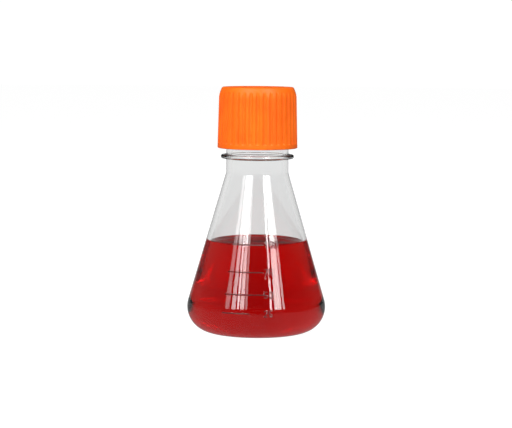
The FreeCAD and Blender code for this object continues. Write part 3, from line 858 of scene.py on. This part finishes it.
class FLASK_OT_build_cap(Operator):
    """Build the fluted screw cap with its internal thread and vent holes"""

    bl_idname = "shake_flask.build_cap"
    bl_label = "Build cap"

    def execute(self, context):
        """Turn the cap, cut its flutes, raise its thread and drill its vents."""
        sizes = settings().cap
        thread = settings().thread
        low_corner, high_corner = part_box("cap_shell")
        low, top, skirt = low_corner.z, high_corner.z, high_corner.x
        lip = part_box("flask_body")[1].z
        under = top - sizes.top_thickness
        field = (sizes.vent_rows + 0.6) * sizes.vent_spacing
        shoulder = skirt - sizes.draft
        shoulder_height = top - sizes.shoulder_drop
        rim = shoulder - sizes.shoulder_inset
        bore = sizes.bore_radius
        inside = rounded(
            [
                (field, under, 0),
                (bore, under, 0.3 * MILLIMETRE),
                (bore, low + sizes.lead_in, 0),
                (bore + sizes.lead_in, low, 0.1 * MILLIMETRE),
                (skirt, low, sizes.skirt_edge),
                (shoulder, shoulder_height, 0),
            ]
        )
        curve = shoulder_curve((shoulder, shoulder_height), (rim, top), sizes.shoulder_curve, sizes.edge)
        start = neck_thread_start(lip) - thread.cap_drop
        end = start + thread.cap_turns * thread.pitch
        outside_from = int(np.argmin([z for r, z in inside]))

        def spacing(z):
            if start - thread.root < z < end + thread.root:
                return 0.35 * MILLIMETRE
            return 0.9 * MILLIMETRE

        bore_rows = divided(inside[: outside_from + 1], spacing)
        outer_line = inside[outside_from:] + curve + [(field, top)]
        skirt_rows = divided(outer_line, lambda z: outer_spacing(z, low, top))
        outline = np.concatenate([bore_rows, skirt_rows[1:]])
        azimuths = flute_columns()
        radius, height = grid(outline, azimuths)
        is_outer = (np.arange(len(outline)) >= len(bore_rows))[:, None]
        ridge = thread_relief(height, azimuths, start, thread.cap_turns)
        on_bore = ~is_outer & (np.abs(outline[:, :1] - bore) < 1e-6)
        radius = np.where(on_bore, radius - ridge, radius)
        cut = fluted(radius, height, azimuths, low, skirt)
        radius = np.where(is_outer & (height > low + sizes.band), cut, radius)
        mesh = turned("ScrewCap", radius, height, azimuths)
        mesh = cut_away(mesh, vent_cutters(under, top))
        finish = settings().finish
        material, shader = new_material(
            "Cap Plastic",
            moulded_group(),
            finish.cap,
            finish.cap_deep,
            (0.38, 0.48),
            (0.12, 0.00004),
            (70.0, 2400.0),
        )
        shader.inputs["IOR"].default_value = CAP_INDEX
        finished("screw_cap", mesh, 40, [material], "cap", "cap_shell")
        return {"FINISHED"}


def outer_spacing(height, low, top):
    """How far apart the rows of the cap's outer face may be at each height."""
    sizes = settings().cap
    if low + sizes.band - 0.3 * MILLIMETRE < height < low + sizes.band + 1.2 * MILLIMETRE:
        return 0.15 * MILLIMETRE
    if height > top - 1.1 * sizes.shoulder_drop:
        return 0.22 * MILLIMETRE
    return 1.5 * MILLIMETRE


def shoulder_curve(start, end, radius, edge):
    """The shoulder's arc from the skirt to the top, and the rounding of the top's edge."""
    first, last = Vector(start), Vector(end)
    middle = (first + last) / 2
    across = last - first
    reach = math.sqrt(radius**2 - (across.length / 2) ** 2)
    inward = Vector((-across.y, across.x)).normalized()
    centre = middle + inward * reach
    angles = [math.degrees(math.atan2(p.y - centre.y, p.x - centre.x)) for p in (first, last)]
    points = arc(centre, radius, angles[0], angles[1], 60)
    kept = [p for p in points if p[1] < end[1] - edge]
    leave = Vector(kept[-1])
    lean = (Vector(kept[-1]) - Vector(kept[-2])).normalized()
    corner = leave + lean * ((end[1] - leave.y) / lean.y)
    turned_over = [(*kept[-1], 0), (*corner, edge * 0.85), (corner.x - 3 * edge, end[1], 0)]
    return kept[:-1] + rounded(turned_over)[1:-1]


# ---------------------------------------------------------------- what the cap holds


# inner radii, edge roundings and face ripples of the two rings, and the rounding of the membrane's edge
SEAL_INNER = 13.9 * MILLIMETRE
RETAINER_INNER = 12.0 * MILLIMETRE
RING_EDGES = {"seal": 0.25 * MILLIMETRE, "retainer": 0.2 * MILLIMETRE}
RING_RIPPLE = {"seal": 0.06 * MILLIMETRE, "retainer": 0.08 * MILLIMETRE}
MEMBRANE_EDGE = 0.1 * MILLIMETRE


def ring_mesh(name, node, inner, rounding, ripple, ripples):
    """A turned ring that fills its CAD node's box, with rounded edges and fine ripples on its faces."""
    low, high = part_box(node)
    outer = high.x
    middle = (inner + outer) / 2
    half = rounded(
        [
            (middle, low.z, 0),
            (outer, low.z, rounding),
            (outer, high.z, rounding),
            (inner, high.z, rounding),
            (inner, low.z, rounding),
            (middle, low.z, 0),
        ],
        steps=6,
    )
    outline = divided(half[:-1], lambda z: 0.3 * MILLIMETRE)
    azimuths = np.radians(np.arange(0, 360, 2.0))
    radius, height = grid(outline, azimuths)
    wave = ripple * (0.5 + 0.5 * np.cos(2 * math.pi * ripples * (radius - inner) / (outer - inner)))
    flat = np.abs(height - (low.z + high.z) / 2) > 0.98 * (high.z - low.z) / 2
    height = np.where(flat, height - np.sign(height - (low.z + high.z) / 2) * wave, height)
    return turned(name, radius, height, azimuths, looped=True)


class FLASK_OT_build_vent(Operator):
    """Build the sealing ring, the filter membrane and the ring that holds it"""

    bl_idname = "shake_flask.build_vent"
    bl_label = "Build seal and vent"

    def execute(self, context):
        """Turn the three pieces in the places that the frame gives."""
        finish = settings().finish
        edges, ripple = RING_EDGES, RING_RIPPLE
        seal = ring_mesh("SealingRing", "cap_gasket", SEAL_INNER, edges["seal"], ripple["seal"], 2)
        deep = [0.85 * c for c in finish.seal]
        rubber, _ = new_material(
            "Seal Rubber", moulded_group(), finish.seal, deep, (0.5, 0.65), (0.2, 0.00005)
        )
        finished("sealing_ring", seal, 50, [rubber], "seal", "cap_gasket")
        retainer = ring_mesh(
            "MembraneRetainer", "membrane_ring", RETAINER_INNER, edges["retainer"], ripple["retainer"], 1
        )
        deep = [0.9 * c for c in finish.retainer]
        plastic, _ = new_material(
            "Retainer Plastic", moulded_group(), finish.retainer, deep, (0.4, 0.5), (0.15, 0.00004)
        )
        finished("membrane_retainer", retainer, 50, [plastic], "cap", "membrane_ring")
        low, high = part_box("vent_membrane")
        edge = MEMBRANE_EDGE
        rim = rounded(
            [(0, low.z, 0), (high.x, low.z, edge), (high.x, high.z, edge), (0, high.z, 0)], steps=4
        )
        outline = divided(rim, lambda z: 0.6 * MILLIMETRE)
        azimuths = np.radians(np.arange(0, 360, 3.0))
        sheet = turned("FilterMembrane", *grid(outline, azimuths), azimuths)
        deep = [0.8 * c for c in finish.membrane]
        felt, _ = new_material(
            "Membrane Felt",
            moulded_group(),
            finish.membrane,
            deep,
            (0.8, 0.95),
            (0.6, 0.00008),
            (400.0, 5200.0),
        )
        finished("filter_membrane", sheet, 50, [felt], "cap", "vent_membrane")
        return {"FINISHED"}


# ---------------------------------------------------------------- the stage


# name, azimuth from the camera's side, elevation, width and height in degrees, radiance
SOFT_LIGHTS = (
    ("LeftFaint", -51.0, 40.0, 10.0, 42.0, 3.0),
    ("LeftNarrow", -39.5, 40.0, 9.0, 42.0, 6.5),
    ("LeftCrest", -31.5, 40.0, 5.0, 42.0, 11.0),
    ("LeftWide", -24.5, 40.0, 9.0, 42.0, 8.5),
    ("LeftEdge", -17.5, 40.0, 5.0, 42.0, 3.0),
    ("RightNarrow", 25.5, 40.0, 4.5, 42.0, 12.0),
    ("RightWide", 38.0, 40.0, 16.0, 42.0, 10.0),
    ("RightEdge", 48.5, 40.0, 5.0, 42.0, 6.0),
)

# lights that only matt faces show
FILL_LIGHTS = (
    ("FillLeft", -62.0, 12.0, 12.0, 20.0, 19.0),
    ("FillRight", 36.0, 8.0, 20.0, 20.0, 4.0),
    ("FillBack", 165.0, 25.0, 40.0, 30.0, 2.0),
)

# share of the way from the left to the right, and how bright the studio is there low down and higher up
STUDIO_LOW = (
    (0.0, 0.6),
    (0.1, 0.9),
    (0.27, 0.9),
    (0.4, 0.05),
    (0.6, 0.05),
    (0.73, 0.85),
    (0.9, 0.85),
    (1.0, 0.6),
)
STUDIO_HORIZON = ((0.0, 0.6), (0.1, 0.85), (0.9, 0.85), (1.0, 0.6))
STUDIO_HIGH = ((0.0, 0.28), (1.0, 0.25))

# the same, as the outer faces reflect it
STUDIO_REFLECTED = ((0.0, 0.12), (0.3, 0.06), (0.5, 0.03), (1.0, 0.03))

# how bright the studio is through the liquid, and the number of clear faces on such a path
STUDIO_THROUGH = 1.0
FACES_THROUGH = 4.5

# heights of a direction, from 0 level to 1 straight up, between which the horizon gives way to the low
# band, and the low band to the high one
HORIZON_FADE = (0.055, 0.085)
HIGH_FADE = (0.17, 0.35)

# how bright the backdrop is to the camera
BACKDROP = 1.05

# how bright the floor looks to the camera, by itself and by the light on it, then in reflections and
# through the flask
FLOOR_GLOW = 0.985
FLOOR_MATT = 0.13
FLOOR_REFLECTED = 0.24
FLOOR_THROUGH = 0.84

# how many clear faces a ray must pass to count as seen through the flask
ANY_FACE = 0.5


def add_soft_light(name, azimuth, elevation, width, height, radiance, distance, target):
    """A soft light that faces the flask and looks as large as the given angles."""
    turn, rise = math.radians(azimuth), math.radians(elevation)
    away = Vector((math.sin(turn) * math.cos(rise), -math.cos(turn) * math.cos(rise), math.sin(rise)))
    light = bpy.data.lights.new(name, "AREA")
    light.shape = "RECTANGLE"
    light.size = 2 * distance * math.tan(math.radians(width) / 2) * math.cos(rise)
    light.size_y = 2 * distance * math.tan(math.radians(height) / 2)
    light.energy = radiance * math.pi * light.size * light.size_y
    lamp = bpy.data.objects.new(name, light)
    lamp.location = target + away * distance
    lamp.rotation_euler = away.to_track_quat("Z", "Y").to_euler()
    lamp.visible_camera = False
    bpy.context.scene.collection.objects.link(lamp)
    return lamp


def ramp(tree, share, stops):
    """A grey that follows a share through the given stops."""
    node = tree.nodes.new("ShaderNodeValToRGB")
    while len(node.color_ramp.elements) < len(stops):
        node.color_ramp.elements.new(0.5)
    for element, (position, bright) in zip(node.color_ramp.elements, stops):
        element.position = position
        element.color = (bright, bright, bright, 1)
    tree.links.new(share, node.inputs["Fac"])
    return node.outputs["Color"]


def mapped(tree, value, low, high):
    """Where a value lies between two bounds, from 0 to 1."""
    node = tree.nodes.new("ShaderNodeMapRange")
    node.inputs["From Min"].default_value = low
    node.inputs["From Max"].default_value = high
    tree.links.new(value, node.inputs["Value"])
    return node.outputs["Result"]


def faces_passed(tree, count):
    """1 for a ray that has gone through more clear faces than the count, and otherwise 0."""
    path = tree.nodes.new("ShaderNodeLightPath")
    more = tree.nodes.new("ShaderNodeMath")
    more.operation = "GREATER_THAN"
    more.inputs[1].default_value = count
    tree.links.new(path.outputs["Transmission Depth"], more.inputs[0])
    return more.outputs["Value"]


def by_ray(tree, seen, other, output):
    """Show one shader to the camera and another to every other ray."""
    path = tree.nodes.new("ShaderNodeLightPath")
    either = tree.nodes.new("ShaderNodeMixShader")
    tree.links.new(path.outputs["Is Camera Ray"], either.inputs["Fac"])
    tree.links.new(other, either.inputs[1])
    tree.links.new(seen, either.inputs[2])
    tree.links.new(either.outputs["Shader"], output.inputs["Surface"])


def make_world():
    """A white backdrop, round a dim studio with a bright panel on each side behind the flask."""
    world = bpy.data.worlds.new("Studio")
    bpy.context.scene.world = world
    world.use_nodes = True
    tree = world.node_tree
    place = tree.nodes.new("ShaderNodeTexCoord")
    split = tree.nodes.new("ShaderNodeSeparateXYZ")
    tree.links.new(place.outputs["Generated"], split.inputs["Vector"])
    across = mapped(tree, split.outputs["X"], -1.0, 1.0)
    raised = mapped(tree, split.outputs["Z"], *HIGH_FADE)
    above = mapped(tree, split.outputs["Z"], *HORIZON_FADE)
    low = blended(tree, above, ramp(tree, across, STUDIO_HORIZON), ramp(tree, across, STUDIO_LOW))
    clear = blended(tree, raised, low, ramp(tree, across, STUDIO_HIGH))
    inside = blended(tree, faces_passed(tree, ANY_FACE), ramp(tree, across, STUDIO_REFLECTED), clear)
    glow = ramp(tree, across, ((0.0, STUDIO_THROUGH), (1.0, STUDIO_THROUGH)))
    studio = tree.nodes["Background"]
    tree.links.new(blended(tree, faces_passed(tree, FACES_THROUGH), inside, glow), studio.inputs["Color"])
    backdrop = tree.nodes.new("ShaderNodeBackground")
    backdrop.inputs["Color"].default_value = (1, 1, 1, 1)
    backdrop.inputs["Strength"].default_value = BACKDROP
    by_ray(tree, backdrop.outputs["Background"], studio.outputs["Background"], tree.nodes["World Output"])


def floor_material():
    """A pale floor: nearly white to the camera, dim in reflections and bright through the flask."""
    material = bpy.data.materials.new("Pale Floor")
    material.use_nodes = True
    tree = material.node_tree
    tree.nodes.remove(tree.nodes["Principled BSDF"])
    lit = tree.nodes.new("ShaderNodeEmission")
    steps = ((0.0, FLOOR_REFLECTED), (1.0, FLOOR_THROUGH))
    tree.links.new(ramp(tree, faces_passed(tree, ANY_FACE), steps), lit.inputs["Color"])
    glow = tree.nodes.new("ShaderNodeEmission")
    glow.inputs["Strength"].default_value = FLOOR_GLOW
    faint = tree.nodes.new("ShaderNodeBsdfDiffuse")
    faint.inputs["Color"].default_value = (FLOOR_MATT, FLOOR_MATT, FLOOR_MATT, 1)
    seen = tree.nodes.new("ShaderNodeAddShader")
    tree.links.new(glow.outputs["Emission"], seen.inputs[0])
    tree.links.new(faint.outputs["BSDF"], seen.inputs[1])
    by_ray(tree, seen.outputs["Shader"], lit.outputs["Emission"], tree.nodes["Material Output"])
    return material


def make_floor(radius):
    """A wide round floor under the flask."""
    azimuths = np.radians(np.arange(0, 360, 5.0))
    outline = np.array([(radius, 0.0), (radius / 40, 0.0), (0.0, 0.0)])
    rings = np.stack(grid(outline, azimuths), axis=-1)
    points = [(r * math.cos(a), r * math.sin(a), z) for row in rings for (r, z), a in zip(row, azimuths)]
    columns = len(azimuths)
    faces = []
    for ring in range(len(outline) - 1):
        for column in range(columns):
            near, beside = ring * columns + column, ring * columns + (column + 1) % columns
            faces.append((near, beside, beside + columns, near + columns))
    mesh = bpy.data.meshes.new("Floor")
    mesh.from_pydata(points, [], faces)
    merge_doubles(mesh)
    mesh.materials.append(floor_material())
    floor = bpy.data.objects.new("floor", mesh)
    bpy.context.scene.collection.objects.link(floor)


class FLASK_OT_build_stage(Operator):
    """Build the pale floor, the soft studio lights and the camera"""

    bl_idname = "shake_flask.build_stage"
    bl_label = "Build stage"

    def execute(self, context):
        """Set the floor, the world, the lights and the camera."""
        scene = context.scene
        sizes = settings().stage
        make_floor(sizes.floor_radius)
        make_world()
        target = Vector((0, 0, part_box("culture_medium")[1].z))
        for light in SOFT_LIGHTS:
            add_soft_light(*light, sizes.light_distance, target)
        for light in FILL_LIGHTS:
            fill = add_soft_light(*light, sizes.light_distance, target)
            fill.visible_glossy = False
            fill.visible_transmission = False
        lens = bpy.data.cameras.new("Camera")
        lens.lens = sizes.lens
        camera = bpy.data.objects.new("Camera", lens)
        camera.location = (sizes.camera_aside, -sizes.camera_distance, sizes.camera_height)
        level = Matrix.Rotation(math.pi / 2 - sizes.camera_pitch, 4, "X")
        camera.rotation_euler = (level @ Matrix.Rotation(sizes.camera_roll, 4, "Z")).to_euler()
        scene.collection.objects.link(camera)
        scene.camera = camera
        scene.view_settings.view_transform = "Standard"
        scene.cycles.max_bounces = 24
        scene.cycles.transmission_bounces = 24
        scene.cycles.glossy_bounces = 8
        scene.cycles.transparent_max_bounces = 16
        return {"FINISHED"}


# ---------------------------------------------------------------- the panel and the start


class FLASK_PT_panel(Panel):
    """Lists the pieces that can be built"""

    bl_idname = "FLASK_PT_panel"
    bl_label = "Shake Flask"
    bl_space_type = "VIEW_3D"
    bl_region_type = "UI"
    bl_category = "Flask"

    def draw(self, context):
        """Show one button for each operator."""
        for operator in BUILDERS:
            self.layout.operator(operator.bl_idname)


SETTING_GROUPS = (
    FlaskSizes,
    ThreadSizes,
    ScaleSizes,
    MediumSizes,
    CapSizes,
    Finishes,
    StageSizes,
    FlaskSettings,
)
BUILDERS = (
    FLASK_OT_build_flask,
    FLASK_OT_build_medium,
    FLASK_OT_build_cap,
    FLASK_OT_build_vent,
    FLASK_OT_build_stage,
)


def register():
    """Add the classes and the scene's settings."""
    for kind in (*SETTING_GROUPS, *BUILDERS, FLASK_PT_panel):
        bpy.utils.register_class(kind)
    bpy.types.Scene.shake_flask = PointerProperty(type=FlaskSettings)


def unregister():
    """Take the classes and the settings away again."""
    del bpy.types.Scene.shake_flask
    for kind in reversed((*SETTING_GROUPS, *BUILDERS, FLASK_PT_panel)):
        bpy.utils.unregister_class(kind)


def main():
    """Build every piece and the stage."""
    register()
    bpy.ops.shake_flask.build_flask()
    bpy.ops.shake_flask.build_medium()
    bpy.ops.shake_flask.build_cap()
    bpy.ops.shake_flask.build_vent()
    bpy.ops.shake_flask.build_stage()


if __name__ == "__main__":
    main()
